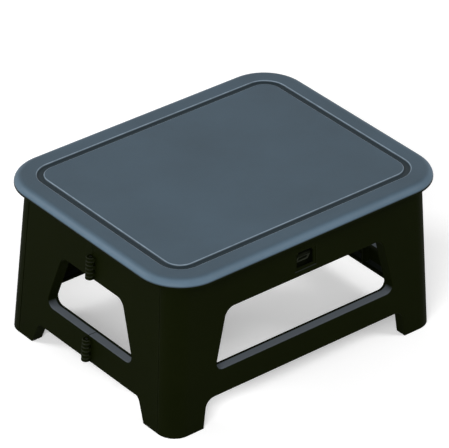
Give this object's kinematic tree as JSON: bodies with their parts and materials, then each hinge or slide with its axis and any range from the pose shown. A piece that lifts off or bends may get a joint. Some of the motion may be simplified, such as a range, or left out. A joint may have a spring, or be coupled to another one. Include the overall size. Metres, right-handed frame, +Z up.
{
  "type": "folding step stool",
  "caption": "Low folding step stool in black plastic with a lidded seat frame, wrap-round front and rear leg panels and two-leaf folding ends.",
  "frame": {"origin": "on the ground under the middle of the stool", "axes": "+X along the length, +Y towards the rear where the lid hinges, +Z up"},
  "size_m": [0.4, 0.314, 0.202],
  "materials": {
    "black_plastic": "fine satin grain, moulded polypropylene",
    "pin_steel": "plain drawn steel rod"
  },
  "bodies": {
    "rear_panel": {"rear_panel": "black_plastic", "seat_hinge_pins": "pin_steel", "left_rear_corner_pins": "pin_steel", "right_rear_corner_pins": "pin_steel"},
    "seat_frame": {"seat_frame": "black_plastic", "lid_hinge_pins": "pin_steel"},
    "lid": {"lid": "black_plastic"},
    "latch_tongue": {"latch_tongue": "black_plastic"},
    "left_rear_leaf": {"left_rear_leaf": "black_plastic", "left_middle_pins": "pin_steel"},
    "left_front_leaf": {"left_front_leaf": "black_plastic"},
    "right_rear_leaf": {"right_rear_leaf": "black_plastic", "right_middle_pins": "pin_steel"},
    "right_front_leaf": {"right_front_leaf": "black_plastic"},
    "front_panel": {"front_panel": "black_plastic", "left_front_corner_pins": "pin_steel", "right_front_corner_pins": "pin_steel"}
  },
  "joints": [
    {"name": "seat_lift", "type": "hinge", "parent": "rear_panel", "child": "seat_frame", "pos_m": [0, 0.13546, 0.177], "axis": [-1, 0, 0], "range_deg": [0, 90]},
    {"name": "left_rear_fold", "type": "hinge", "parent": "rear_panel", "child": "left_rear_leaf", "pos_m": [-0.17707, 0.12126, 0.08926], "axis": [0.055, 0, 0.9985], "range_deg": [0, 90]},
    {"name": "left_middle_fold", "type": "hinge", "parent": "left_rear_leaf", "child": "left_front_leaf", "pos_m": [-0.19105, 0, 0.09003], "axis": [0.055, 0, 0.9985], "range_deg": [-180, 0]},
    {"name": "left_front_fold", "type": "hinge", "parent": "left_front_leaf", "child": "front_panel", "pos_m": [-0.17707, -0.12126, 0.08926], "axis": [0.055, 0, 0.9985], "range_deg": [0, 90]},
    {"name": "right_rear_fold", "type": "hinge", "parent": "rear_panel", "child": "right_rear_leaf", "pos_m": [0.17707, 0.12126, 0.08926], "axis": [-0.055, 0, 0.9985], "range_deg": [-90, 0]},
    {"name": "right_middle_fold", "type": "hinge", "parent": "right_rear_leaf", "child": "right_front_leaf", "pos_m": [0.19105, 0, 0.09003], "axis": [-0.055, 0, 0.9985], "range_deg": [0, 180]},
    {"name": "lid_open", "type": "hinge", "parent": "seat_frame", "child": "lid", "pos_m": [0, 0.1538, 0.189], "axis": [-1, 0, 0], "range_deg": [0, 100]},
    {"name": "latch_press", "type": "hinge", "parent": "seat_frame", "child": "latch_tongue", "pos_m": [0, -0.13246, 0.181], "axis": [1, 0, 0], "range_deg": [0, 6], "stiffness_Nm_per_rad": 0.1}
  ],
  "couplings": [
    {"joint": "left_rear_fold", "follows": "seat_lift", "ratio": 1},
    {"joint": "left_middle_fold", "follows": "seat_lift", "ratio": -2},
    {"joint": "left_front_fold", "follows": "seat_lift", "ratio": 1},
    {"joint": "right_rear_fold", "follows": "seat_lift", "ratio": -1},
    {"joint": "right_middle_fold", "follows": "seat_lift", "ratio": 2}
  ]
}
